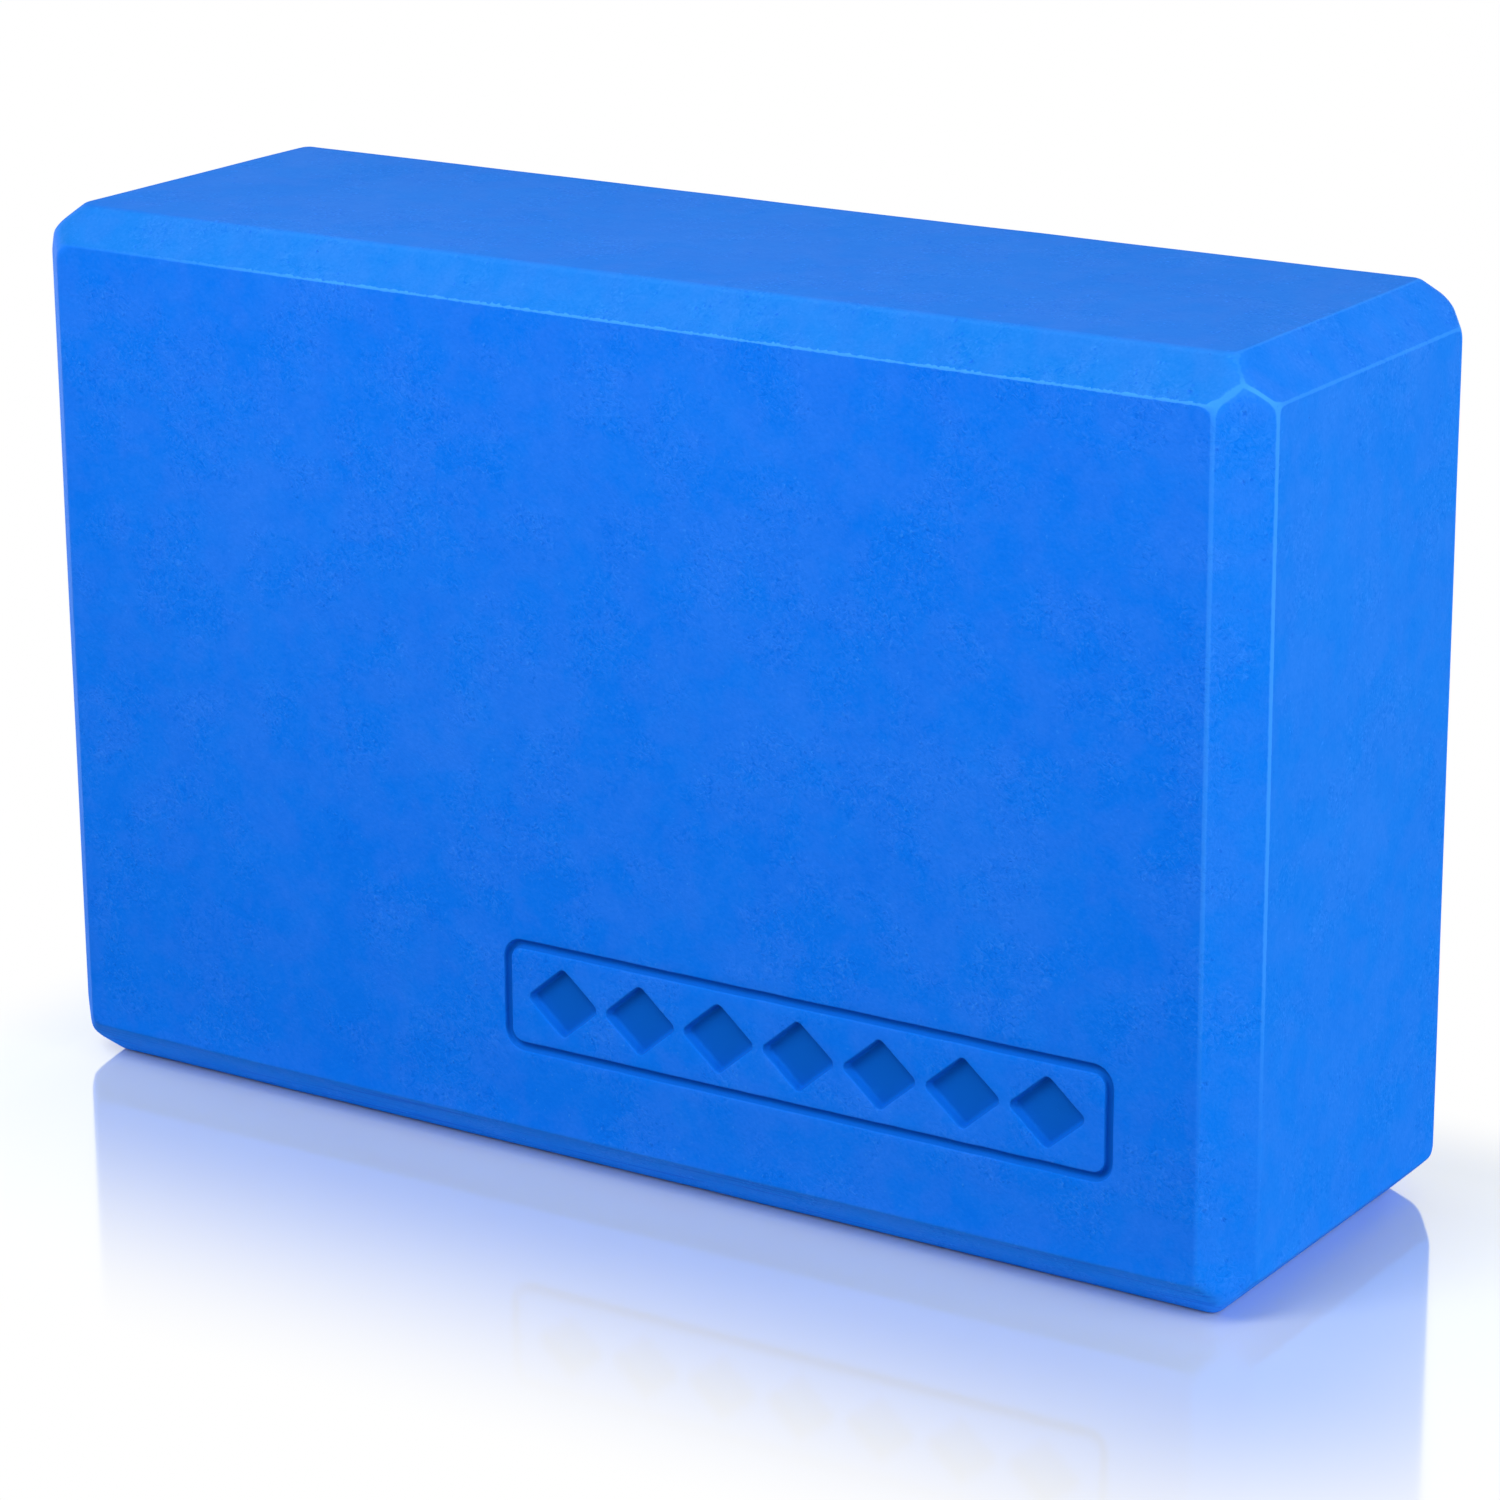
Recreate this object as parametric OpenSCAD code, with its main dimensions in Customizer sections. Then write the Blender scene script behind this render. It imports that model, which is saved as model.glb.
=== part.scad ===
// Foam exercise block: one solid brick of closed-cell foam, sawn to size, with a
// bevel routed along every edge and a shallow decorative band pressed into its
// broad front face.
// Frame: X runs along the length, Y through the thickness (the front face looks
// towards -Y) and Z is up. The origin is the centre of the underside, on which
// the block stands.

/* [Block] */
// Length of the block, from end to end
block_length = 230; // [180:1:300]
// Thickness of the block, from front face to back face
block_thickness = 75; // [50:1:120]
// Height of the block as it stands on its long narrow side
block_height = 150; // [110:1:220]

/* [Bevels] */
// Leg of the 45 degree bevel along each of the twelve edges
bevel_leg = 7; // [4:0.5:12]
// Radius that eases both edges of each bevel, where it meets the faces
edge_radius = 1.5; // [0.5:0.25:2.5]
// Width of the easing along the short edges where two bevels meet
mitre_width = 1.3; // [0.4:0.1:1.6]
// Radius of the ball that rounds each corner, where three bevels meet
corner_radius = 7; // [4:0.5:8]

/* [Pressed band] */
// Outer length of the frame that the groove draws
band_length = 113; // [60:1:130]
// Outer height of the frame that the groove draws
band_height = 19; // [16:0.5:40]
// Radius of the frame's outer corners
band_radius = 3.5; // [2:0.5:6]
// Distance from the block's right-hand end to the frame
band_end_inset = 21.5; // [15:0.5:35]
// Distance from the block's underside to the frame
band_foot_inset = 20.5; // [15:0.5:45]
// Width of the groove
groove_width = 1.4; // [0.8:0.1:1.8]
// Depth of the groove and of the lozenges below the front face
press_depth = 1.5; // [0.4:0.1:3]

/* [Lozenges] */
// Width of each lozenge, from tip to tip
lozenge_width = 14; // [6:0.5:20]
// Height of each lozenge, from tip to tip
lozenge_height = 12; // [5:0.5:12]
// Land left between the tips of neighbouring lozenges
lozenge_gap = 1; // [1:0.25:6]
// Land left between the groove and the outermost tips, at the least
lozenge_margin = 2.5; // [1:0.25:6]

/* [Hidden] */

foam_blue = [0.11, 0.46, 0.93];

// Facets of a full circle in the drawn model
curve_facets = 96;
// How far a cutting profile or tool runs past the surface that it cuts
overrun = 2;

// An easing arc turns through 45 degrees between a face and a bevel. Its centre
// lies one radius inside the face, and this far inside the face at right angles
arc_side_inset = bevel_leg + edge_radius * (sqrt(2) - 1);
// Step along each axis from an arc's centre to the point where it meets the bevel
arc_to_bevel = edge_radius / sqrt(2);

// Three bevels meet in a low three-sided point, whose axis is the diagonal of the
// corner. The short edges between the bevels run down from it to the three face
// corners, which lie this far from the axis
point_reach = bevel_leg * sqrt(2 / 3);
// Height of the point above the plane of those face corners
point_height = bevel_leg / (2 * sqrt(3));
// Distance from the middle of that plane to each of the block's three faces
point_foot_inset = bevel_leg * 2 / 3;
// Tilt of the corner's diagonal from each axis of the block
diagonal_tilt = acos(1 / sqrt(3));
// Slope of the short edges below the horizontal, with the diagonal upright
mitre_slope = asin(1 / 3);
// Angle between a short edge's easing and the bevel on either side of it
mitre_turn = 30;
// A cone that runs parallel to the three short edges eases them. Its tip lies
// lower than the point by the depth that it takes off
cone_tip = point_height - mitre_width / 2 * tan(mitre_turn) / cos(mitre_slope);
// Centre of the ball that fits inside the tip of the cone, on the diagonal
ball_height = cone_tip - corner_radius / cos(mitre_slope);
// Distance from the diagonal to the outside of the waste that is taken off
waste_reach = point_reach + overrun;

// Middle of the pressed band on the front face
band_centre_x = block_length / 2 - band_end_inset - band_length / 2;
band_centre_z = band_foot_inset + band_height / 2;

// The row holds as many whole lozenges as fit between the two margins
row_length = band_length - 2 * (groove_width + lozenge_margin);
lozenge_pitch = lozenge_width + lozenge_gap;
lozenge_count = floor((row_length + lozenge_gap) / lozenge_pitch);

// Rectangle with bevelled corners whose eight edges are eased by arcs, centred
// on the origin
module eased_octagon(width, height) {
    // Centres of the two arcs beside the corner in the first quadrant
    end_arc = [width / 2 - edge_radius, height / 2 - arc_side_inset];
    side_arc = [width / 2 - arc_side_inset, height / 2 - edge_radius];
    // The four points where that corner's arcs meet the straight stretches
    corner = [
        end_arc + [edge_radius, 0],
        end_arc + arc_to_bevel * [1, 1],
        side_arc + arc_to_bevel * [1, 1],
        side_arc + [0, edge_radius]
    ];
    mirrored = [for (i = [3 : -1 : 0]) [-corner[i].x, corner[i].y]];
    polygon(concat(corner, mirrored, -corner, -mirrored));
    for (sx = [-1, 1], sy = [-1, 1], arc = [end_arc, side_arc])
        translate([sx * arc.x, sy * arc.y]) circle(r = edge_radius, $fn = curve_facets);
}

// Bar with that profile, longer than the block by the overrun at both ends
module bevelled_bar(width, height, length) {
    linear_extrude(height = length + 2 * overrun, center = true) eased_octagon(width, height);
}

// The brick that three such bars have in common, one along each axis
module bevelled_brick() {
    intersection() {
        bevelled_bar(block_length, block_thickness, block_height);
        rotate([90, 0, 0]) bevelled_bar(block_length, block_height, block_thickness);
        rotate([0, 90, 0]) bevelled_bar(block_height, block_thickness, block_length);
    }
}

// Waste outside the cone and the ball that ease a corner, with the diagonal
// upright and the plane of the three face corners at the origin's height
module corner_waste() {
    // Where the ball meets the cone
    meeting = corner_radius * [sin(mitre_slope), cos(mitre_slope)] + [0, ball_height];
    rotate_extrude($fn = curve_facets)
        difference() {
            polygon([
                [0, meeting.y],
                meeting,
                [waste_reach, cone_tip - waste_reach * tan(mitre_slope)],
                [waste_reach, point_height + overrun],
                [0, point_height + overrun]
            ]);
            translate([0, ball_height]) circle(r = corner_radius, $fn = curve_facets);
        }
}

// The waste of all eight corners, each on its own diagonal of the block
module corner_wastes() {
    for (mx = [0, 1], my = [0, 1], mz = [0, 1])
        mirror([mx, 0, 0]) mirror([0, my, 0]) mirror([0, 0, mz])
            translate([
                block_length / 2 - point_foot_inset,
                block_thickness / 2 - point_foot_inset,
                block_height / 2 - point_foot_inset
            ])
                rotate([0, diagonal_tilt, 45]) corner_waste();
}

// Oblong with rounded corners, centred on the origin
module rounded_oblong(length, height, radius) {
    square([length - 2 * radius, height], center = true);
    square([length, height - 2 * radius], center = true);
    for (sx = [-1, 1], sy = [-1, 1])
        translate([sx * (length / 2 - radius), sy * (height / 2 - radius)])
            circle(r = radius, $fn = curve_facets);
}

// Groove that draws the frame of the band
module frame_groove() {
    difference() {
        rounded_oblong(band_length, band_height, band_radius);
        rounded_oblong(
            band_length - 2 * groove_width,
            band_height - 2 * groove_width,
            band_radius - groove_width
        );
    }
}

// Diamond with a tip at each side, centred on the origin
module lozenge() {
    polygon([
        [lozenge_width / 2, 0],
        [0, lozenge_height / 2],
        [-lozenge_width / 2, 0],
        [0, -lozenge_height / 2]
    ]);
}

// Row of lozenges, centred in the frame
module lozenge_row() {
    for (i = [0 : lozenge_count - 1])
        translate([(i - (lozenge_count - 1) / 2) * lozenge_pitch, 0]) lozenge();
}

// Die that presses the band into the front face
module band_die() {
    translate([band_centre_x, -block_thickness / 2 + press_depth, band_centre_z])
        rotate([90, 0, 0])
            linear_extrude(height = press_depth + overrun) {
                frame_groove();
                lozenge_row();
            }
}

// The whole block: brick, rounded corners and pressed band
module foam_block() {
    color(foam_blue)
        difference() {
            translate([0, 0, block_height / 2])
                difference() {
                    bevelled_brick();
                    corner_wastes();
                }
            band_die();
        }
}

foam_block();
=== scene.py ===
import math

import bpy
import numpy as np
from mathutils import Matrix, Vector
from mathutils.geometry import delaunay_2d_cdt
from mathutils.noise import noise


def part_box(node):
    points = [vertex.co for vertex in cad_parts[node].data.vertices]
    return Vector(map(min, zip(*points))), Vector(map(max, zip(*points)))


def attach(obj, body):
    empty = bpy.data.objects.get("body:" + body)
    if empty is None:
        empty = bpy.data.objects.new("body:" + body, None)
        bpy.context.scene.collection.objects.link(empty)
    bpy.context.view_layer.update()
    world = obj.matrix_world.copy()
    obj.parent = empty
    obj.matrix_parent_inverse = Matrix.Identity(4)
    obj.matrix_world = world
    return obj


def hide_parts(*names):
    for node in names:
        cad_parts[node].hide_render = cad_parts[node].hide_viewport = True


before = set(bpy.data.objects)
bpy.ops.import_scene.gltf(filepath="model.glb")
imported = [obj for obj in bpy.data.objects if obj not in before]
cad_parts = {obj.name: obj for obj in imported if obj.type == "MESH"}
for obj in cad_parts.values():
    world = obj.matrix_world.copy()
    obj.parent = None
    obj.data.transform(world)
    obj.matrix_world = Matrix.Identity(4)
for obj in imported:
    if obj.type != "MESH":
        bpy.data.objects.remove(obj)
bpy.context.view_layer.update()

# ---------------------------------------------------------------------------
# The brick. The real block is one brick of closed-cell EVA foam, sawn from a
# slab and then routed with a 45 degree bevel along all twelve edges. Use eases
# the edges of the bevels, each kind by its own radius, and the corners' points.
# ---------------------------------------------------------------------------

mm = 0.001

lowest, highest = (np.array(corner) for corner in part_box("foam_block"))
middle = (lowest + highest) / 2
half_size = (highest - lowest) / 2

bevel_leg = 7.0 * mm
edge_radius = 1.5 * mm
mitre_width = 1.3 * mm
mitre_blend = 0.5 * mm
corner_radius = 7.0 * mm
bevel_turn = math.radians(45)

# The bevel along the top of the front was routed shallow, most of all at its left end
shallow_at_left = 1.3 * mm
shallow_at_right = 0.4 * mm

# Each edge joins two of these: the block's ends, broad faces and narrow faces,
# and its upright, long and short bevels. It has its own easing radius, half
# width of pale line, part worn foam and part painted highlight, both in
# millimetres, and paleness from 0 to 1
edge_wear_and_highlight = {
    ("end", "upright"): (1.1, 0.46, 0.8),
    ("broad", "upright"): (1.2, 0.48, 0.4),
    ("broad", "long"): (0.6, 0.28, 1.0),
    ("narrow", "long"): (2.4, 0.9, 0.15),
    ("narrow", "short"): (0.9, 0.3, 0.25),
    ("end", "short"): (0.9, 0.35, 0.45),
    ("upright", "long"): (1.5, 0.95, 0.65),
    ("long", "short"): (1.5, 0.3, 0.15),
    ("short", "upright"): (1.5, 0.5, 1.0),
}
wear_blend = 0.55 * mm

# Sawn faces bow inwards a little, and no edge is eased evenly along its length
sawing_waver = 0.12 * mm
sawing_waver_pitch = 45 * mm
easing_waver = 0.35
easing_waver_pitch = 14 * mm

# The mesh is a box of graded lines, drawn in towards a core box until each of
# its points meets the brick's surface
core_depth = 12.0 * mm
face_pitch = 2.4 * mm
face_line_offsets = np.array([0.2, 0.4, 0.6, 0.85, 1.15, 1.6, 2.3, 3.4]) * mm
bevel_line_offsets = np.array([0.2, 0.4, 0.6, 0.8, 1.0, 1.3, 1.75, 2.35, 3.0, 3.65, 4.3]) * mm

# Each point's ray reaches a little beyond the box, and is halved this often
ray_reach = 1.05
ray_halvings = 36

# Keeps a logarithm finite, far from every edge
least_closeness = 1e-30

# Each seed reads the noise at a place of its own
seed_step = Vector((17.3, 5.1, 9.7))


def waver(places, pitch, seed):
    """Smooth random values from -1 to 1, one for each place."""
    shift = seed_step * seed
    return np.array([noise(Vector(place) / pitch + shift) for place in places])


def rounded_corner(a, b, radius, turn):
    """Distance outside two planes that differ by this turn, with their edge rounded."""
    u = a + radius
    v = b + radius
    across = np.sqrt(np.maximum(u * u + v * v - 2 * u * v * math.cos(turn), 0))
    arc = across / math.sin(turn) - radius
    beside_arc = (u > v * math.cos(turn)) & (v > u * math.cos(turn))
    return np.where(beside_arc, arc, np.maximum(a, b))


def eased_point(depths):
    """Distance outside the cone and the ball that ease a corner, about its diagonal."""
    mitre_slope = math.asin(1 / 3)
    mitre_turn = math.radians(30)
    point_height = bevel_leg / (2 * math.sqrt(3))
    cone_tip = point_height - mitre_width / 2 * math.tan(mitre_turn) / math.cos(mitre_slope)
    ball_height = cone_tip - corner_radius / math.cos(mitre_slope)
    height = (2 * bevel_leg - depths.sum(axis=1)) / math.sqrt(3)
    from_foot = bevel_leg * 2 / 3 - depths
    reach = np.sqrt(np.maximum((from_foot ** 2).sum(axis=1) - height ** 2, 0))
    cone = (height - cone_tip) * math.cos(mitre_slope) + reach * math.sin(mitre_slope)
    above_ball = height - ball_height
    ball = np.hypot(above_ball, reach) - corner_radius
    on_ball = reach < above_ball * math.tan(mitre_slope)
    return np.where(on_ball, ball, cone)


def blunt_maximum(a, b, width):
    """The larger of two distances, blended where they are nearly equal."""
    nearness = np.maximum(width - abs(a - b), 0) / width
    return np.maximum(a, b) + nearness ** 2 * width / 4


def bevel_distances(places):
    """Distance of each place outside its corner's three bevels, one column each."""
    depths = half_size - abs(places)
    pairs = depths[:, [0, 1, 2]] + depths[:, [1, 2, 0]]
    leftwards = 0.5 - places[:, 0] / (2 * half_size[0])
    shallow = shallow_at_right + (shallow_at_left - shallow_at_right) * leftwards
    front_top = (places[:, 1] < 0) & (places[:, 2] > 0)
    pairs[:, 1] += np.where(front_top, shallow, 0)
    return (bevel_leg - pairs) / math.sqrt(2)


def nearest_edges(places):
    """Distance from a face's nearest edge, below zero on the face, and that edge's easing and pale
    line, part worn foam and part painted highlight.
    """
    faces = -(half_size - abs(places))
    bevels = bevel_distances(places)
    planes = dict(zip(("end", "broad", "narrow"), faces.T))
    planes.update(zip(("upright", "long", "short"), bevels.T))
    first, second = (np.stack([planes[edge[side]] for edge in edge_wear_and_highlight]) for side in (0, 1))
    outermost = np.maximum(bevels.max(axis=1), faces.max(axis=1))
    away = abs(first - second) / math.sin(bevel_turn)
    mitred = np.array([edge[0] in ("upright", "long", "short") for edge in edge_wear_and_highlight])
    apart = mitred[:, None] | (np.maximum(first, second) < outermost)
    closeness = np.where(apart, 0, np.exp(-away / wear_blend))
    away = -wear_blend * np.log(closeness.sum(axis=0) + least_closeness)
    near = np.minimum(first, second)
    weights = np.exp((near - near.max(axis=0)) / wear_blend)
    wear_and_highlight = np.array(list(edge_wear_and_highlight.values())).T @ weights / weights.sum(axis=0)
    on_cut = bevels.max(axis=1) > faces.max(axis=1)
    return np.where(on_cut, away, -away), wear_and_highlight


def outside_brick(places, radius):
    """Distance of each place outside the eased brick; negative within it."""
    depths = half_size - abs(places)
    bevels = bevel_distances(places)
    faces = -depths
    worst = np.full(len(places), -np.inf)
    for k in range(3):
        for face in (faces[:, k], faces[:, (k + 1) % 3]):
            eased = rounded_corner(face, bevels[:, k], radius, bevel_turn)
            worst = np.maximum(worst, eased)
    return blunt_maximum(worst, eased_point(depths), mitre_blend)


def graded_lines(half_length):
    """Places of the box's lines along one side, close together across the bevels."""
    on_face = bevel_leg + face_line_offsets
    along_bevel = bevel_leg - bevel_line_offsets / math.sqrt(2)
    # A line of the box lands on the bevel where a ray from the core passes through it
    rise = core_depth * (2 * along_bevel - bevel_leg)
    on_bevel = rise / (core_depth - bevel_leg + along_bevel)
    insets = np.concatenate(([0], on_bevel[::-1], [bevel_leg], on_face))
    flat_half = half_length - core_depth
    steps = 2 * round(flat_half / face_pitch)
    flat = np.linspace(-flat_half, flat_half, steps + 1)
    return np.concatenate((insets - half_length, flat, half_length - insets[::-1]))


def box_sides(lines):
    """Points of the closed box of lines, and their numbers on each of its six sides."""
    numbers = {}
    sides = {}
    for axis in range(3):
        for end in (0, 1):
            u, v = [a for a in range(3) if a != axis]
            side = np.empty((len(lines[u]), len(lines[v])), int)
            for i in range(len(lines[u])):
                for j in range(len(lines[v])):
                    key = [0, 0, 0]
                    key[axis] = end * (len(lines[axis]) - 1)
                    key[u] = i
                    key[v] = j
                    side[i, j] = numbers.setdefault(tuple(key), len(numbers))
            sides[axis, end] = side
    points = np.array([[lines[a][key[a]] for a in range(3)] for key in numbers])
    return points, sides


def drawn_in(cage, radius):
    """Moves each point of the box along its ray from the core box to the brick's surface."""
    core_half = half_size - core_depth
    start = np.clip(cage, -core_half, core_half)
    ray = cage - start
    dent = sawing_waver * (0.5 + 0.5 * waver(cage, sawing_waver_pitch, seed=1))
    near = np.zeros(len(cage))
    far = np.full(len(cage), ray_reach)
    for _ in range(ray_halvings):
        half_way = (near + far) / 2
        outside = outside_brick(start + ray * half_way[:, None], radius) + dent > 0
        far = np.where(outside, half_way, far)
        near = np.where(outside, near, half_way)
    return start + ray * near[:, None]


lines = [graded_lines(half) for half in half_size]
cage, sides = box_sides(lines)

# ---------------------------------------------------------------------------
# The pressed band. A heated die squeezes a framed row of plain lozenges into
# the broad front face, low down towards the right-hand end. The foam stays
# crushed there: its rim rolls over softly, and its floor is dense and flat.
# ---------------------------------------------------------------------------

band_length = 113.0 * mm
band_height = 19.0 * mm
band_radius = 3.5 * mm
band_end_inset = 21.5 * mm
band_foot_inset = 20.5 * mm
groove_width = 1.4 * mm
press_depth = 1.5 * mm
rim_overlap = 0.3 * mm
rim_roll = 0.35 * mm
lozenge_floor_roll = 0.6 * mm
wall_draft = math.radians(15)

# The foam springs back in the narrow groove, so it stays shallower and rounder
groove_depth = 1.0 * mm
groove_floor_roll = 0.55 * mm

lozenge_width = 14.0 * mm
lozenge_height = 12.0 * mm
lozenge_gap = 1.0 * mm
lozenge_margin = 2.5 * mm
lozenge_radius = 1.0 * mm

outline_pitch = 1.1 * mm
land_pitch = 1.5 * mm
land_clearance = 0.6 * mm
window_margin = 2.0 * mm
arc_points = 7
bend_points = 5
triangulation_tolerance = 1e-5
outline_waver = 0.07 * mm
outline_waver_pitch = 5 * mm

band_middle = np.array([
    half_size[0] - band_end_inset - band_length / 2,
    band_foot_inset + band_height / 2 - half_size[2],
])
row_length = band_length - 2 * (groove_width + lozenge_margin)
lozenge_pitch = lozenge_width + lozenge_gap
lozenge_count = math.floor((row_length + lozenge_gap) / lozenge_pitch)


def soft_outline(corners, radius, inset):
    """Closed outline with rounded corners, moved inwards. Its points keep their order."""
    count = len(corners)
    arcs = []
    for k in range(count):
        sides_here = (corners[k] - corners[k - 1], corners[(k + 1) % count] - corners[k])
        before, after = (np.array([s[1], -s[0]]) / np.hypot(*s) for s in sides_here)
        centre = corners[k] - (before + after) * radius / (1 + before @ after)
        start = math.atan2(before[1], before[0])
        angles = start + np.linspace(0, math.acos(before @ after), arc_points)
        rays = np.stack([np.cos(angles), np.sin(angles)], axis=1)
        arcs.append(centre + (radius - inset) * rays)
    outline = []
    for k in range(count):
        end = arcs[k][-1]
        start = arcs[(k + 1) % count][0]
        nominal = np.hypot(*(corners[(k + 1) % count] - corners[k]))
        steps = max(2, round(nominal / outline_pitch))
        outline.append(arcs[k][:-1])
        outline.append(end + (start - end) * np.linspace(0, 1, steps)[:-1, None])
    return np.concatenate(outline)


def pressed_wall(depth, floor_roll):
    """Insets, depths and steepness from the land, over the rim and down the wall, to the floor."""
    slope = math.pi / 2 - wall_draft
    bends = np.linspace(0, slope, bend_points)
    drop = (rim_roll + floor_roll) * (1 - math.cos(slope))
    wall = (depth - drop) / math.sin(slope)
    rim = rim_roll * np.stack([np.sin(bends), 1 - np.cos(bends)], axis=1)
    foot = rim[-1] + wall * np.array([math.cos(slope), math.sin(slope)])
    back = bends[::-1]
    floor = np.stack([
        foot[0] + floor_roll * (math.sin(slope) - np.sin(back)),
        depth - floor_roll * (1 - np.cos(back)),
    ], axis=1)
    profile = np.concatenate((rim, [(rim[-1] + foot) / 2], floor)) - [rim_overlap, 0]
    steepness = np.concatenate((np.sin(bends), [math.sin(slope)], np.sin(back)))
    return np.column_stack((profile, steepness))


def rectangle(length, height):
    """Corners of a rectangle, anticlockwise."""
    return np.array([[1, 1], [-1, 1], [-1, -1], [1, -1]]) * [length / 2, height / 2]


def lozenge_tips():
    """Tips of a lozenge, anticlockwise."""
    return np.array([[1, 0], [0, 1], [-1, 0], [0, -1]]) * [lozenge_width / 2, lozenge_height / 2]


def within(points, outline):
    """Whether each point lies inside a convex anticlockwise outline."""
    side = np.roll(outline, -1, axis=0) - outline
    off = points[:, None, :] - outline[None, :, :]
    return (side[:, 0] * off[:, :, 1] - side[:, 1] * off[:, :, 0] > 0).all(axis=1)


def clear_of(points, outline):
    """Whether each point stands clear of an outline's own points."""
    off = points[:, None, :] - outline[None, :, :]
    return np.sqrt((off ** 2).sum(axis=2)).min(axis=1) > land_clearance


def lattice(outline):
    """Points of a staggered lattice over the box that holds an outline."""
    low = outline.min(axis=0)
    high = outline.max(axis=0)
    rows = np.arange(low[1] + land_pitch / 2, high[1], land_pitch)
    across = np.arange(low[0] + land_pitch / 4, high[0], land_pitch)
    return np.concatenate([
        np.stack([across + land_pitch / 2 * (k % 2), np.full(len(across), row)], axis=1)
        for k, row in enumerate(rows)
    ])


def filled(loops, wanted):
    """Triangles between closed loops, and the loose points added to fill them evenly."""
    loose = lattice(np.concatenate(loops))
    loose = loose[wanted(loose)]
    for loop in loops:
        loose = loose[clear_of(loose, loop)]
    points = np.concatenate(loops + [loose])
    edges = []
    first = 0
    for loop in loops:
        edges += [(first + k, first + (k + 1) % len(loop)) for k in range(len(loop))]
        first += len(loop)
    flat = [Vector(point) for point in points / mm]
    found = delaunay_2d_cdt(flat, edges, [], 0, triangulation_tolerance, True)
    _, _, triangles, origins, _, _ = found
    triangles = np.array([origin[0] for origin in origins])[np.array(triangles)]
    return loose, triangles[wanted(points[triangles].mean(axis=1))]


class FacePatch:
    """Points and faces that fill the window in the front face, numbered on from the cage."""

    def __init__(self, first):
        self.first = first
        self.plan = np.empty((0, 2))
        self.depth = np.empty(0)
        self.steepness = np.empty(0)
        self.faces = []

    def add(self, plan, depth, steepness=0.0):
        """Adds points at one depth and steepness, and returns their numbers."""
        start = self.first + len(self.plan)
        self.plan = np.concatenate((self.plan, plan))
        self.depth = np.append(self.depth, np.full(len(plan), depth))
        self.steepness = np.append(self.steepness, np.full(len(plan), steepness))
        return np.arange(start, start + len(plan))

    def press(self, corners, radius, profile, centre):
        """Adds one ring for each row of the profile, and the faces between them."""
        rings = []
        plans = []
        for inset, depth, steepness in profile:
            plan = centre + soft_outline(corners, radius, inset)
            plans.append(plan)
            rings.append(self.add(plan, depth, steepness))
        for outer, inner in zip(rings, rings[1:]):
            around = zip(outer, np.roll(outer, -1), np.roll(inner, -1), inner)
            self.faces += [list(corner) for corner in around]
        return plans, rings

    def fill(self, loops, numbers, wanted, depth):
        """Triangulates what lies between loops whose points have these numbers."""
        loose, triangles = filled(loops, wanted)
        every = np.concatenate(numbers + [self.add(loose, depth)])
        self.faces += every[triangles].tolist()


# The window is the block of grid cells that the band and its margin cover
front = sides[1, 0]
window_half = np.array([band_length, band_height]) / 2 + window_margin
first_column, first_row = (
    np.searchsorted(lines[axis], band_middle[k] - window_half[k]) - 1
    for k, axis in enumerate((0, 2))
)
last_column, last_row = (
    np.searchsorted(lines[axis], band_middle[k] + window_half[k])
    for k, axis in enumerate((0, 2))
)
window_loop = np.concatenate((
    front[first_column:last_column, first_row],
    front[last_column, first_row:last_row],
    front[last_column:first_column:-1, last_row],
    front[first_column, last_row:first_row:-1],
))

patch = FacePatch(len(cage))
groove_wall = pressed_wall(groove_depth, groove_floor_roll)
groove_back = groove_wall[::-1] * [-1, 1, 1] + [groove_width, 0, 0]
frame_plans, frame_rings = patch.press(
    rectangle(band_length, band_height),
    band_radius,
    np.concatenate((groove_wall, groove_back)),
    band_middle,
)
lozenge_wall = pressed_wall(press_depth, lozenge_floor_roll)
lozenge_plans = []
lozenge_rings = []
for k in range(lozenge_count):
    along = (k - (lozenge_count - 1) / 2) * lozenge_pitch
    centre = band_middle + [along, 0]
    plans, rings = patch.press(lozenge_tips(), lozenge_radius, lozenge_wall, centre)
    lozenge_plans.append(plans[0])
    lozenge_rings.append(rings[0])
    patch.fill([plans[-1]], [rings[-1]], lambda p: within(p, plans[-1]), press_depth)

window_plan = cage[window_loop][:, [0, 2]]
patch.fill(
    [window_plan, frame_plans[0]],
    [window_loop, frame_rings[0]],
    lambda p: ~within(p, frame_plans[0]),
    0,
)


def on_land(points):
    """Whether each point lies inside the frame and outside every lozenge."""
    land = within(points, frame_plans[-1])
    for plan in lozenge_plans:
        land &= ~within(points, plan)
    return land


patch.fill(
    [frame_plans[-1]] + lozenge_plans,
    [frame_rings[-1]] + lozenge_rings,
    on_land,
    0,
)

# ---------------------------------------------------------------------------
# The block's mesh. Brick and band are one piece of foam, so they are one
# closed mesh. Notes on its points tell the finish where the foam is cut,
# where its edges are paler, part worn and part painted highlight, and where it is crushed.
# ---------------------------------------------------------------------------

note_blend = 0.3 * mm


def side_faces(axis, end):
    """Faces of one side of the cage, facing outwards, without those in the window."""
    side = sides[axis, end]
    corners = (side[:-1, :-1], side[1:, :-1], side[1:, 1:], side[:-1, 1:])
    if (axis == 1) == (end == 1):
        corners = corners[::-1]
    quads = np.stack(corners, axis=-1)
    keep = np.ones(quads.shape[:2], bool)
    if (axis, end) == (1, 0):
        keep[first_column:last_column, first_row:last_row] = False
    return quads[keep].tolist()


def cut_share(places):
    """How much of each place lies on a bevel rather than on a face."""
    faces = -(half_size - abs(places))
    further = bevel_distances(places).max(axis=1) - faces.max(axis=1)
    return np.clip(0.5 + further / note_blend, 0, 1)


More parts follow.
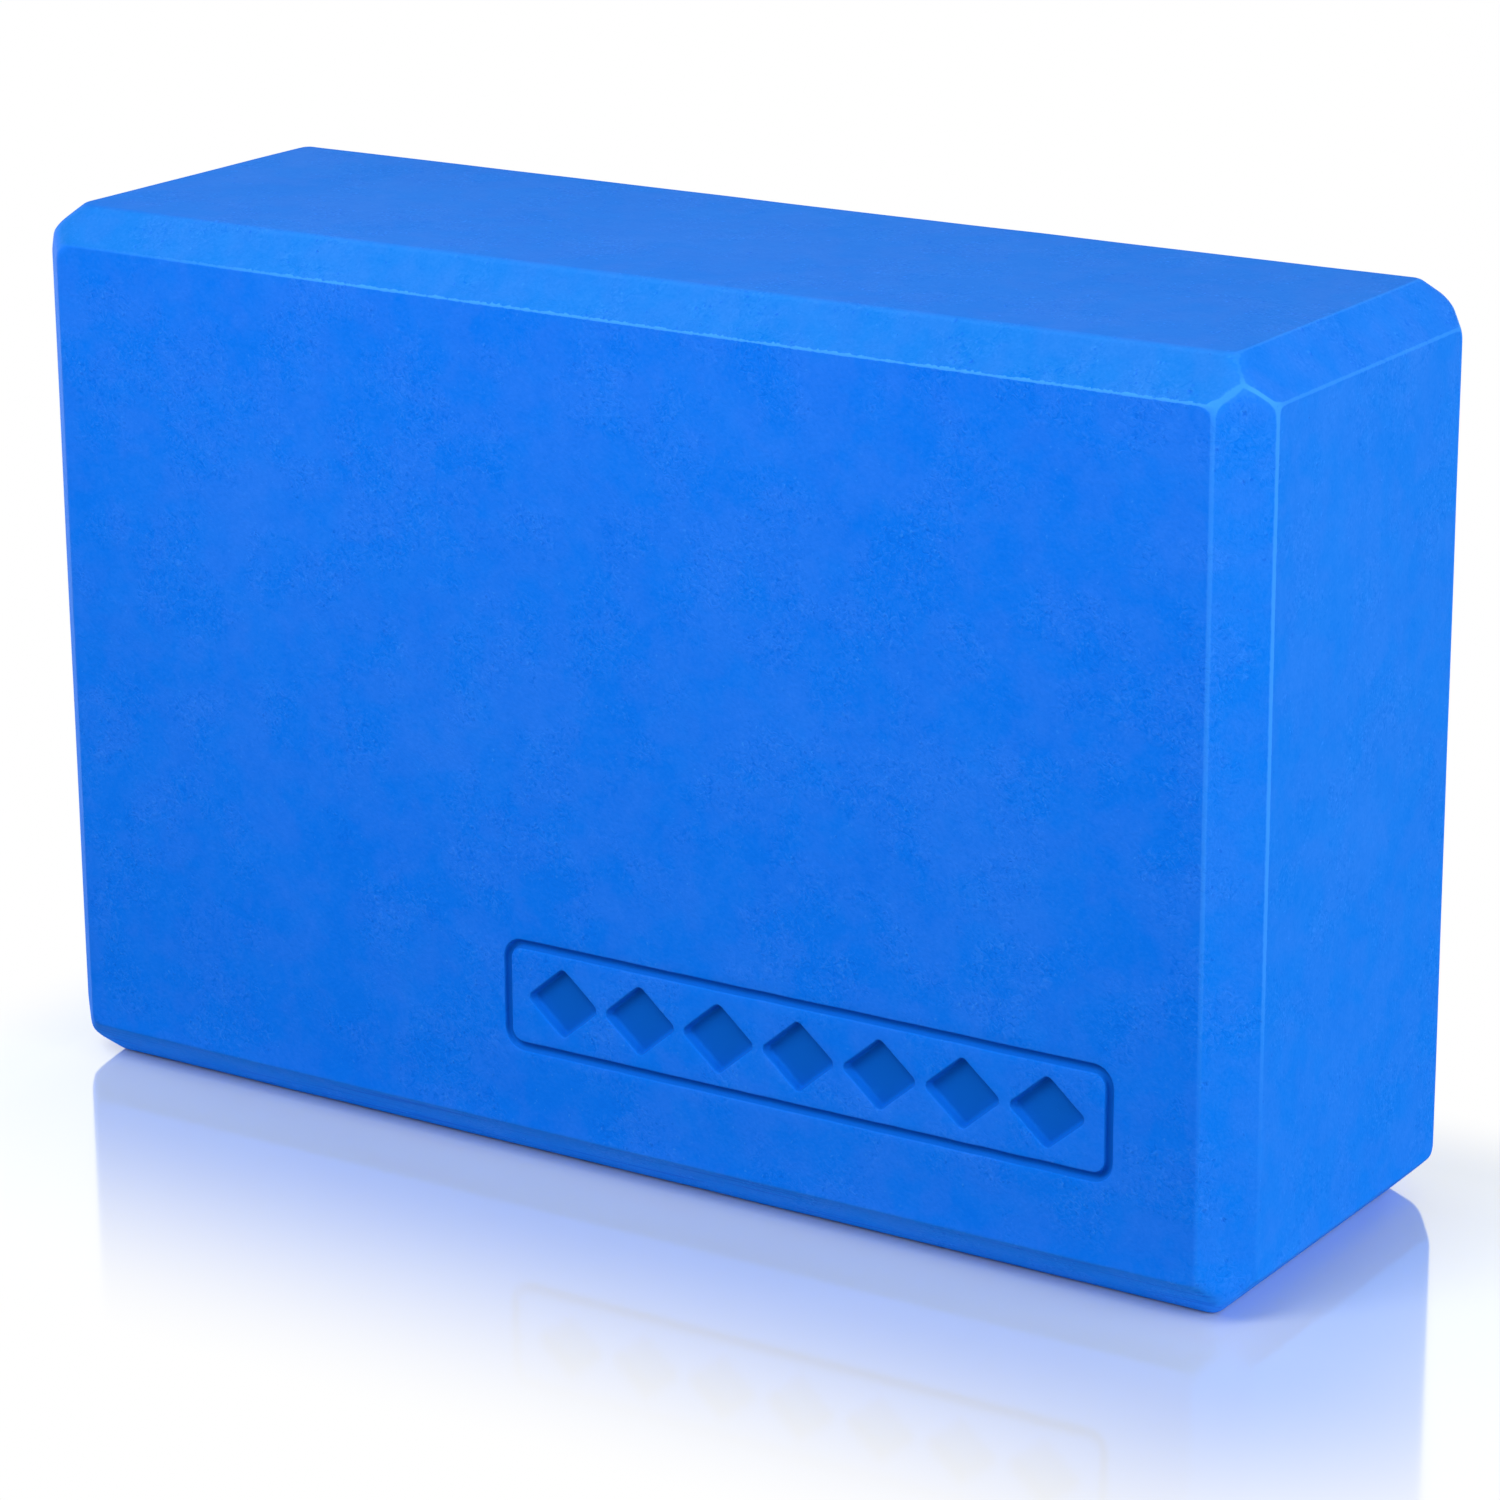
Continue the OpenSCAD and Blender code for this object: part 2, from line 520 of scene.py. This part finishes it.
def face_share(places, axis):
    """How much of each place lies on the two faces that this axis runs between."""
    depths = half_size - abs(places)
    further = np.delete(depths, axis, axis=1).min(axis=1) - depths[:, axis]
    return np.clip(0.5 + further / note_blend, 0, 1)


def bevel_share(places, which):
    """How near each place is to one kind of bevel rather than the others, from 0 to 1."""
    bevels = bevel_distances(places)
    further = bevels[:, which] - np.delete(bevels, which, axis=1).max(axis=1)
    return np.clip(0.5 + further / note_blend, 0, 1)


on_face = np.full(len(patch.plan), -half_size[1])
patch_cage = np.stack([patch.plan[:, 0], on_face, patch.plan[:, 1]], axis=1)
patch_cage[:, 0] += outline_waver * waver(patch_cage, outline_waver_pitch, seed=3)
patch_cage[:, 2] += outline_waver * waver(patch_cage, outline_waver_pitch, seed=4)
whole_cage = np.concatenate((cage, patch_cage))
nominal = drawn_in(whole_cage, edge_radius)
eased_by = nearest_edges(nominal)[1][0] * mm
uneven = 1 + easing_waver * waver(whole_cage, easing_waver_pitch, seed=2)
surface = drawn_in(whole_cage, eased_by * uneven)
from_edge, (_, line_half_width, paleness) = nearest_edges(surface)
depth = np.concatenate((np.zeros(len(cage)), patch.depth))
places = surface + depth[:, None] * [0, 1, 0] + middle

faces = list(patch.faces)
for axis, end in sides:
    faces += side_faces(axis, end)
used = np.unique(np.concatenate([np.array(face) for face in faces]))
renumbered = np.full(len(places), -1)
renumbered[used] = np.arange(len(used))

block_mesh = bpy.data.meshes.new("bevelled_foam_brick")
block_mesh.from_pydata(places[used].tolist(), [], [renumbered[face].tolist() for face in faces])
upright_cut, long_cut, short_cut = bevel_distances(surface).T
notes = {
    "from_edge": from_edge / mm,
    "line_half_width": line_half_width,
    "paleness": paleness,
    "upright_cut": upright_cut / mm,
    "long_cut": long_cut / mm,
    "short_cut": short_cut / mm,
    "cut": cut_share(surface),
    "long": bevel_share(surface, 1),
    "short": bevel_share(surface, 2),
    "end": face_share(surface, 0),
    "narrow": face_share(surface, 2),
    "crushed": depth / press_depth,
    "wall": np.concatenate((np.zeros(len(cage)), patch.steepness)),
}
for name, values in notes.items():
    note = block_mesh.attributes.new(name, "FLOAT", "POINT")
    note.data.foreach_set("value", values[used].astype(np.float32))
block_mesh.shade_smooth()
block_mesh.validate()

block = bpy.data.objects.new("bevelled_foam_brick", block_mesh)
bpy.context.scene.collection.objects.link(block)
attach(block, "root")
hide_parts("foam_block")

# ---------------------------------------------------------------------------
# The foam's finish. EVA foam is matt and even in colour, with fine grain, small
# open cells and faint scuffs. Faces and cut bevels differ a little in tone, partly as a
# painted sheen. Edges are paler, part worn foam and part painted highlight; open cells
# carry a painted shade in the hole and a painted highlight on the lip; the foam is painted
# darker lower down; and foam crushed by the die is dark and dull with little grain, its
# walls painted a little lighter against their shade.
# ---------------------------------------------------------------------------


def paint(red, green, blue):
    """A screen colour, with each part from 0 to 255, as Blender's linear colour."""
    parts = [part / 255 for part in (red, green, blue)]
    return [p / 12.92 if p < 0.04045 else ((p + 0.055) / 1.055) ** 2.4 for p in parts] + [1]


# Faces and bevels differ in colour partly by how light falls on them: their red is partly a painted
# sheen, most on the top, bottom and ends, and the more brightly lit ones carry less blue, so that their
# stronger light stays below white
skin_blue = paint(19, 115, 235)
end_blue = paint(23, 118, 227)
narrow_blue = paint(28, 113, 215)
cut_blue = paint(21, 116, 228)
long_cut_blue = paint(26, 118, 216)
short_cut_blue = paint(21, 112, 218)
# The long bevels at the foot are painted lighter, a painted light against the shade they face down into
foot_cut_lightened_blue = paint(15, 121, 226)
crushed_blue = paint(0, 93, 198)
# The walls of the pressed marks are painted a little lighter than their floor, a painted light against
# their shade
wall_lightened_blue = paint(0, 100, 210)
# Pale lines along edges and mitres, part worn foam and part painted highlight
worn_and_highlight_blue = paint(56, 145, 243)
# Dark strokes and router lines, and the painted shade in the open cells' hollows
cell_and_shade_blue = paint(0, 88, 214)
# Pale strokes, and the painted highlight on the open cells' lips
fleck_and_highlight_blue = paint(44, 134, 240)

# Here lengths are in millimetres and strengths run from 0 to 1. A pair whose
# name ends in noise gives the two noise values between which something sets in

# Lower down the foam is painted darker and less red, a painted shade with less painted
# sheen, and the pale lines fade. This sets in from the first height down to the second
upper_height = 85.0
foot_height = 12.0
low_shade_red_green_blue = [0.6, 1.0, 1.04]
least_paleness = 0.1

# The pale lines fade towards the left end too, from the first place along X to the second
pale_lines_right_of = -45.0
faint_lines_left_of = -108.0

# Scuffs gather in patches, with a few everywhere and more of those on cut bevels
scuff_patch_pitch = 11.0
scuff_patch_noise = (0.42, 0.62)
scuffed_least = 0.15
scuffed_least_on_cut = 0.35

# Pitch and size of the clouds in the foam's tone
tone_clouds = [(40, 0.024), (9.0, 0.018), (2.6, 0.020)]
grain_pitch = 0.6
grain_tone = 0.024
stroke_pitch = 1.0
stroke_bend = 1.6
stroke_tone = 0.06
# A lighter tone adds red, green and blue in this proportion
tone_red_green_blue = [0.5, 1.0, 1.4]
haze_pitch = 7.0
haze_detail = 3.0
haze_noise = (0.38, 0.62)
haze_red = (-0.0025, 0.0035)

pale_stroke_noise = (0.60, 0.70)
pale_stroke_strength = 0.2
dark_stroke_noise = (0.38, 0.28)
dark_stroke_strength = 0.25

# Fine dark lines, as a router leaves them, run along the long bevels at the foot
router_line_pitch = 0.8
router_line_stretch = 40
router_line_noise = (0.44, 0.34)
router_line_strength = 0.5

# Most open cells are pits, and a few are larger chips: pitch, least and greatest radius
pit_sizes = (0.8, 0.12, 0.38)
pit_share = 0.9
pits_fewer_on_cut = 0.3
chip_sizes = (2.6, 0.2, 0.6)
chip_share = 0.4
cell_raggedness = 0.8
cell_ragged_scale = 2.2
cell_least_strength = 0.2
# Share of its radius within which a hole or its lip is at full strength
cell_core = 0.3
# Each open cell has a lip that lies this way from its middle, towards the upper left,
# with a painted highlight on it, and a painted shade in its hole
lip_highlight_lean = [-0.3, -0.15, 0.25]
lip_highlight_strength = 0.8
hole_shade_strength = 0.5
hole_shade_more_on_cut = 0.1

# Two bevels turn by this angle where they meet. A mitre's pale line does not run
# on across the faces, so off the bevels a length is added to the distance from it
mitre_angle = math.radians(60)
off_bevel = 20.0
mitre_fillet = 2.0
# The routed side of a long edge crumbles, so its pale line is more ragged there
line_ragged_pitch = 0.9
line_ragged_detail = 3.0
line_raggedness = 0.3
line_raggedness_more_on_long_cut = 1.1
# The line fades out between these distances, as shares of its half width
line_fade = (1.15, 0.5)

# The notes of depth and steepness turn the foam to crushed floor and wall
# between these values
crushed_note = (0.02, 0.4)
wall_note = (0.3, 0.9)

grain_relief = 0.04
chip_relief = -0.08
stroke_relief = 0.08
crushed_less_relief = 0.7
plain_roughness = 0.78
crushed_more_roughness = 0.1
foam_shine = 0.08


def node_in(tree, kind, inputs=None, **settings):
    """Adds a node. Its inputs are numbers, colours, or outputs to link."""
    node = tree.nodes.new("ShaderNode" + kind)
    for name, value in settings.items():
        setattr(node, name, value)
    for name, value in (inputs or {}).items():
        if isinstance(value, bpy.types.NodeSocket):
            tree.links.new(value, node.inputs[name])
        else:
            node.inputs[name].default_value = value
    return node


def maths(tree, operation, *values, clamp=False):
    """The result of one sum on numbers or outputs."""
    node = node_in(tree, "Math", dict(enumerate(values)), operation=operation, use_clamp=clamp)
    return node.outputs[0]


def product(tree, *values):
    """All the values multiplied together."""
    result = values[0]
    for value in values[1:]:
        result = maths(tree, "MULTIPLY", result, value)
    return result


def vectors(tree, operation, first, second):
    """The result of one sum on two vectors or colours."""
    return node_in(tree, "VectorMath", {0: first, 1: second}, operation=operation).outputs[0]


def ramp(tree, value, low, high, start=0.0, end=1.0):
    """Runs smoothly from start to end as a value goes from low to high."""
    inputs = {"Value": value, 1: low, 2: high, 3: start, 4: end}
    return node_in(tree, "MapRange", inputs, interpolation_type="SMOOTHSTEP").outputs[0]


def mixed(tree, share, first, second):
    """The first colour, with this share of the second."""
    node = node_in(tree, "Mix", {0: share, 6: first, 7: second}, data_type="RGBA")
    return node.outputs[2]


def speckle(tree, place, pitch, detail=2.0, distortion=0.0):
    """Cloudy noise whose patches are about a pitch across."""
    inputs = {"Vector": place, "Scale": 1 / pitch, "Detail": detail, "Distortion": distortion}
    return node_in(tree, "TexNoise", inputs).outputs["Fac"]


def note_on(tree, name):
    """A note from the mesh's points."""
    return node_in(tree, "Attribute", attribute_name=name).outputs["Fac"]


def scaled(tree, colour, factor):
    """The same colour, brighter or darker."""
    return node_in(tree, "VectorMath", {0: colour, "Scale": factor}, operation="SCALE").outputs[0]


def swing(tree, value, size, around):
    """Swings about a number, by a size, as noise goes from 0 to 1."""
    return maths(tree, "MULTIPLY_ADD", maths(tree, "SUBTRACT", value, 0.5), size, around)


def coordinate(tree, place, axis):
    """One coordinate of a place."""
    return node_in(tree, "SeparateXYZ", {0: place}).outputs[axis]


def clean_blue(tree, cut, long, low_down):
    """Colour of each kind of face and bevel, before any mark, with its painted sheen and a painted
    shade lower down.
    """
    face_blue = mixed(tree, note_on(tree, "end"), skin_blue, end_blue)
    face_blue = mixed(tree, note_on(tree, "narrow"), face_blue, narrow_blue)
    # Low down the long bevels take their lighter colour, a painted light against their shade
    along_blue = mixed(tree, low_down, long_cut_blue, foot_cut_lightened_blue)
    bevel_blue = mixed(tree, long, cut_blue, along_blue)
    bevel_blue = mixed(tree, note_on(tree, "short"), bevel_blue, short_cut_blue)
    colour = mixed(tree, cut, face_blue, bevel_blue)
    # Lower down the colour is painted darker and less red, a painted shade
    shaded_low = mixed(tree, low_down, [1, 1, 1, 1], low_shade_red_green_blue + [1])
    return vectors(tree, "MULTIPLY", colour, shaded_low)


def mottled(tree, place, colour, grain, strokes, scuffed):
    """The colour with clouds, grain and a little haze in it."""
    tone = 0.0
    for pitch, size in tone_clouds:
        tone = swing(tree, speckle(tree, place, pitch), size, tone)
    tone = swing(tree, grain, grain_tone, tone)
    tone = swing(tree, strokes, product(tree, scuffed, stroke_tone), tone)
    colour = vectors(tree, "ADD", colour, scaled(tree, tone_red_green_blue, tone))
    haze = ramp(tree, speckle(tree, place, haze_pitch, haze_detail), *haze_noise, *haze_red)
    colour = vectors(tree, "ADD", colour, scaled(tree, [1, 0, 0], haze))
    return vectors(tree, "MAXIMUM", colour, [0, 0, 0])


def stroked(tree, colour, strokes, scuffed):
    """The colour with short pale and dark strokes where it is scuffed."""
    pale = product(tree, ramp(tree, strokes, *pale_stroke_noise), scuffed, pale_stroke_strength)
    dark = product(tree, ramp(tree, strokes, *dark_stroke_noise), scuffed, dark_stroke_strength)
    colour = mixed(tree, pale, colour, fleck_and_highlight_blue)
    return mixed(tree, dark, colour, cell_and_shade_blue)


def router_lined(tree, place, colour, long_cut, low_down):
    """The colour with fine dark lines along the long bevels at the foot."""
    drawn_out = vectors(tree, "MULTIPLY", place, [1 / router_line_stretch, 1, 1])
    lines = ramp(tree, speckle(tree, drawn_out, router_line_pitch), *router_line_noise)
    lines = product(tree, lines, long_cut, low_down, router_line_strength)
    return mixed(tree, lines, colour, cell_and_shade_blue)


def open_cells(tree, place, pitch, smallest, largest, share):
    """How deep each place lies in a small hole, and how high on its torn lip, from 0 to 1."""
    cells = node_in(tree, "TexVoronoi", {"Vector": place, "Scale": 1 / pitch})
    chance = node_in(tree, "SeparateColor", {0: cells.outputs["Color"]}).outputs
    radius = ramp(tree, chance[0], 0, 1, smallest, largest)
    there = maths(tree, "LESS_THAN", chance[1], share)
    strength_range = 1 - cell_least_strength
    strength = maths(tree, "MULTIPLY_ADD", chance[2], strength_range, cell_least_strength)
    there = product(tree, there, strength)
    masks = []
    for lean in ([0, 0, 0], lip_highlight_lean):
        centre = vectors(tree, "ADD", cells.outputs["Position"], lean)
        off = node_in(tree, "VectorMath", {0: place, 1: centre}, operation="DISTANCE")
        near = maths(tree, "DIVIDE", off.outputs["Value"], radius)
        masks.append(product(tree, ramp(tree, near, cell_core, 1.0, 1.0, 0.0), there))
    return masks


def celled(tree, place, colour, cut, scuffed):
    """The colour with open cells in it, a painted shade in each hole and a painted highlight on each
    lip, and how deep each place lies in a chip.
    """
    bend = node_in(tree, "TexNoise", {"Vector": place, "Scale": cell_ragged_scale, "Detail": 2.0})
    bend = scaled(tree, bend.outputs["Color"], cell_raggedness)
    ragged = vectors(tree, "ADD", place, bend)
    pits_here = product(tree, scuffed, pit_share)
    pits_here = maths(tree, "MULTIPLY_ADD", cut, -pits_fewer_on_cut, pits_here)
    pits, pit_lip_highlights = open_cells(tree, ragged, *pit_sizes, pits_here)
    chips_here = product(tree, scuffed, chip_share)
    chips, chip_lip_highlights = open_cells(tree, ragged, *chip_sizes, chips_here)
    lip_highlights = product(tree, maths(tree, "MAXIMUM", pit_lip_highlights, chip_lip_highlights), lip_highlight_strength)
    # Each lip gets a painted highlight, and each hole below a painted shade
    colour = mixed(tree, lip_highlights, colour, fleck_and_highlight_blue)
    hole_shade_here = maths(tree, "MULTIPLY_ADD", cut, hole_shade_more_on_cut, hole_shade_strength)
    hole_shade = product(tree, maths(tree, "MAXIMUM", pits, chips), hole_shade_here)
    return mixed(tree, hole_shade, colour, cell_and_shade_blue), chips


def from_mitre(tree):
    """Distance from where the two outermost bevels meet."""
    upright, long, short = (note_on(tree, name) for name in ("upright_cut", "long_cut", "short_cut"))
    total = maths(tree, "ADD", maths(tree, "ADD", upright, long), short)
    top = maths(tree, "MAXIMUM", maths(tree, "MAXIMUM", upright, long), short)
    bottom = maths(tree, "MINIMUM", maths(tree, "MINIMUM", upright, long), short)
    # The top one less the middle one, which is the total less the other two
    step = maths(tree, "SUBTRACT", maths(tree, "MULTIPLY_ADD", top, 2.0, bottom), total)
    return maths(tree, "DIVIDE", step, math.sin(mitre_angle))


def wear_and_highlight_share(tree, place, cut, long_cut, low_down):
    """How much of the pale line shows along edges and mitres, part worn foam and part painted
    highlight.
    """
    off_mitre = maths(tree, "ADD", from_mitre(tree), off_bevel)
    off_mitre = maths(tree, "MULTIPLY_ADD", cut, -off_bevel, off_mitre)
    off_edge = maths(tree, "ABSOLUTE", note_on(tree, "from_edge"))
    off_line = maths(tree, "SMOOTH_MIN", off_edge, off_mitre, mitre_fillet)
    more = line_raggedness_more_on_long_cut
    loose = maths(tree, "MULTIPLY_ADD", long_cut, more, line_raggedness)
    ragged = speckle(tree, place, line_ragged_pitch, line_ragged_detail)
    off_line = swing(tree, ragged, loose, off_line)
    off_line = maths(tree, "DIVIDE", off_line, note_on(tree, "line_half_width"))
    by_height = ramp(tree, low_down, 0, 1, 1.0, least_paleness)
    along = coordinate(tree, place, 0)
    by_end = ramp(tree, along, faint_lines_left_of, pale_lines_right_of, least_paleness, 1.0)
    return product(tree, ramp(tree, off_line, *line_fade), note_on(tree, "paleness"), by_height, by_end)


def foam_finish():
    """The block's one material."""
    material = bpy.data.materials.new("blue_eva_foam")
    material.use_nodes = True
    tree = material.node_tree
    tree.nodes.clear()
    metres = node_in(tree, "TexCoord").outputs["Object"]
    place = scaled(tree, metres, 1 / mm)
    low_down = ramp(tree, coordinate(tree, place, 2), upper_height, foot_height)
    cut = note_on(tree, "cut")
    long = note_on(tree, "long")
    crushed = note_on(tree, "crushed")
    long_cut = product(tree, long, cut)

    scuffed = speckle(tree, place, scuff_patch_pitch)
    scuffed = ramp(tree, scuffed, *scuff_patch_noise, scuffed_least, 1.0)
    scuffed = maths(tree, "MAXIMUM", scuffed, product(tree, cut, scuffed_least_on_cut))
    grain = speckle(tree, place, grain_pitch)
    strokes = speckle(tree, place, stroke_pitch, distortion=stroke_bend)

    colour = clean_blue(tree, cut, long, low_down)
    colour = mottled(tree, place, colour, grain, strokes, scuffed)
    colour = stroked(tree, colour, strokes, scuffed)
    colour = router_lined(tree, place, colour, long_cut, low_down)
    colour, chips = celled(tree, place, colour, cut, scuffed)
    land = maths(tree, "SUBTRACT", 1.0, crushed, clamp=True)
    # Pale lines along edges and mitres, part worn foam and part painted highlight
    worn_and_highlighted = product(tree, wear_and_highlight_share(tree, place, cut, long_cut, low_down), land)
    colour = mixed(tree, worn_and_highlighted, colour, worn_and_highlight_blue)
    colour = mixed(tree, ramp(tree, crushed, *crushed_note), colour, crushed_blue)
    # Steep walls take a colour a little lighter than the floor, a painted light against their shade
    colour = mixed(tree, ramp(tree, note_on(tree, "wall"), *wall_note), colour, wall_lightened_blue)

    relief = product(tree, grain, grain_relief)
    relief = maths(tree, "MULTIPLY_ADD", chips, chip_relief, relief)
    relief = maths(tree, "MULTIPLY_ADD", product(tree, strokes, scuffed), stroke_relief, relief)
    kept_relief = maths(tree, "MULTIPLY_ADD", crushed, -crushed_less_relief, 1.0)
    relief = product(tree, relief, kept_relief)
    bump = node_in(tree, "Bump", {"Height": relief, "Distance": mm}).outputs[0]

    rough = maths(tree, "MULTIPLY_ADD", crushed, crushed_more_roughness, plain_roughness)
    shader = node_in(tree, "BsdfPrincipled", {
        "Base Color": colour,
        "Roughness": rough,
        "Specular IOR Level": foam_shine,
        "Normal": bump,
    })
    node_in(tree, "OutputMaterial", {"Surface": shader.outputs[0]})
    return material


block_mesh.materials.append(foam_finish())

# ---------------------------------------------------------------------------
# The table. A large, slightly cool white gloss sheet carries the block and its
# soft shadow, and fades into a plain white studio.
# ---------------------------------------------------------------------------

table_half = 4.0
sheet_white = [0.84, 0.9, 0.9, 1]
table_shine = 0.5
table_roughness = 0.08
table_fade_start = 10 * mm
table_fade_end = 90 * mm

# The sheet throws light back on the block from its own white at the block's
# foot, dimmer further off, and brighter again well in front
table_white = [0.9, 0.9, 0.9, 1]
table_dimmed = [0.15, 0.15, 0.15, 1]
table_lit = [0.5, 0.5, 0.5, 1]
table_near = 10 * mm
table_lit_start = 50 * mm
table_lit_end = 250 * mm

# How fast the sheet turns white along X, Y and Z: three times as fast behind the
# block and to its left as to its right and in front of it
fade_right_and_behind = [1.0, 3.0, 1.0]
fade_left_and_in_front = [3.0, 1.0, 1.0]


def seen_directly(tree):
    """1 for the camera, and for what gloss and glass show it."""
    path = node_in(tree, "LightPath").outputs
    seen = maths(tree, "MAXIMUM", path["Is Camera Ray"], path["Is Glossy Ray"])
    return maths(tree, "MAXIMUM", seen, path["Is Transmission Ray"])


def beyond_foot(tree, metres, direction, weights):
    """How far each place lies beyond the block's foot, to one side of it."""
    foot = [half_size[0], half_size[1], 0]
    along = vectors(tree, "MULTIPLY", metres, [direction, direction, 0])
    past = vectors(tree, "SUBTRACT", along, foot)
    past = vectors(tree, "MAXIMUM", past, [0, 0, 0])
    return vectors(tree, "MULTIPLY", past, weights)


def table_finish():
    """White gloss near the block, which turns plain white further off."""
    material = bpy.data.materials.new("white_table")
    material.use_nodes = True
    tree = material.node_tree
    tree.nodes.clear()
    metres = node_in(tree, "TexCoord").outputs["Object"]
    right = beyond_foot(tree, metres, 1, fade_right_and_behind)
    left = beyond_foot(tree, metres, -1, fade_left_and_in_front)
    both = vectors(tree, "ADD", right, left)
    away = node_in(tree, "VectorMath", {0: both}, operation="LENGTH").outputs["Value"]

    matt = node_in(tree, "BsdfDiffuse", {"Color": sheet_white})
    shine = node_in(tree, "BsdfGlossy", {"Color": [1, 1, 1, 1], "Roughness": table_roughness})
    sheet = node_in(tree, "MixShader", {0: table_shine, 1: matt.outputs[0], 2: shine.outputs[0]})
    white = node_in(tree, "Emission", {"Strength": 1.0})
    far = ramp(tree, away, table_fade_start, table_fade_end)
    look = node_in(tree, "MixShader", {0: far, 1: sheet.outputs[0], 2: white.outputs[0]})

    thrown_back = mixed(tree, ramp(tree, away, 0, table_near), table_white, table_dimmed)
    in_front = coordinate(tree, left, 1)
    lit = ramp(tree, in_front, table_lit_start, table_lit_end)
    thrown_back = mixed(tree, lit, thrown_back, table_lit)
    plain = node_in(tree, "BsdfDiffuse", {"Color": thrown_back})
    seen = seen_directly(tree)
    whole = node_in(tree, "MixShader", {0: seen, 1: plain.outputs[0], 2: look.outputs[0]})
    node_in(tree, "OutputMaterial", {"Surface": whole.outputs[0]})
    return material


table_corners = table_half * np.array([[-1, -1, 0], [1, -1, 0], [1, 1, 0], [-1, 1, 0]])
table_mesh = bpy.data.meshes.new("white_table")
table_mesh.from_pydata(table_corners.tolist(), [], [[0, 1, 2, 3]])
table_mesh.materials.append(table_finish())
table = bpy.data.objects.new("white_table", table_mesh)
bpy.context.scene.collection.objects.link(table)

# ---------------------------------------------------------------------------
# The studio. White walls light the block evenly. Four square soft boxes, one
# to each side of it, give its faces their slight steps.
# ---------------------------------------------------------------------------

studio_white = [1, 1, 1, 1]
wall_light = 0.76
overhead_light = 0.58

# The upward part of a direction, from 0 level to 1 straight up, between which
# the walls' light gives way to the light from overhead
walls_end = 0.25
overhead_starts = 0.75

# Where each soft box stands and how wide it is, in metres, and its power in watts
soft_boxes = {
    "front_soft_box": {"place": (-0.1, -0.5, 0.65), "size": 0.4, "power": 3.6},
    "right_soft_box": {"place": (1.05, -0.08, 0.2), "size": 0.8, "power": 10.0},
    "left_soft_box": {"place": (-1.2, 0.25, 0.03), "size": 0.25, "power": 10.0},
    "back_soft_box": {"place": (-0.15, 1.1, 0.03), "size": 0.25, "power": 8.5},
}


def studio_walls():
    """White all round, and dimmer for what lights the block."""
    world = bpy.data.worlds.new("white_studio")
    world.use_nodes = True
    tree = world.node_tree
    tree.nodes.clear()
    towards = node_in(tree, "TexCoord").outputs["Generated"]
    up = coordinate(tree, towards, 2)
    strength = ramp(tree, up, walls_end, overhead_starts, wall_light, overhead_light)
    walls = node_in(tree, "Background", {"Color": studio_white, "Strength": strength})
    white = node_in(tree, "Background", {"Color": studio_white, "Strength": 1.0})
    seen = seen_directly(tree)
    whole = node_in(tree, "MixShader", {0: seen, 1: walls.outputs[0], 2: white.outputs[0]})
    node_in(tree, "OutputWorld", {"Surface": whole.outputs[0]})
    return world


def soft_box(name, place, size, power):
    """A square lamp that faces the block."""
    lamp = bpy.data.lights.new(name, "AREA")
    lamp.shape = "SQUARE"
    lamp.size = size
    lamp.energy = power
    box = bpy.data.objects.new(name, lamp)
    box.location = place
    box.rotation_euler = (Vector(middle) - Vector(place)).to_track_quat("-Z", "Y").to_euler()
    bpy.context.scene.collection.objects.link(box)


bpy.context.scene.world = studio_walls()
for name, box in soft_boxes.items():
    soft_box(name, **box)

# ---------------------------------------------------------------------------
# The camera. A long lens at about arm's length looks a little down on the block,
# from the front and somewhat to the right.
# ---------------------------------------------------------------------------

camera_turn = math.radians(33.22)
camera_rise = math.radians(17.26)
camera_roll = math.radians(-0.39)
camera_distance = 823.2 * mm
camera_target = Vector((4.0 * mm, 0, 65.1 * mm))

# In millimetres, as Blender's camera takes them
camera_lens = 120.3
camera_sensor = 36.0

back = Vector((
    math.sin(camera_turn) * math.cos(camera_rise),
    -math.cos(camera_turn) * math.cos(camera_rise),
    math.sin(camera_rise),
))
camera_data = bpy.data.cameras.new("camera")
camera_data.lens = camera_lens
camera_data.sensor_width = camera_sensor
camera = bpy.data.objects.new("camera", camera_data)
aim = back.to_track_quat("Z", "Y").to_matrix() @ Matrix.Rotation(camera_roll, 3, "Z")
camera.matrix_world = Matrix.Translation(camera_target + back * camera_distance) @ aim.to_4x4()
bpy.context.scene.collection.objects.link(camera)
bpy.context.scene.camera = camera

bpy.context.scene.view_settings.view_transform = "Standard"
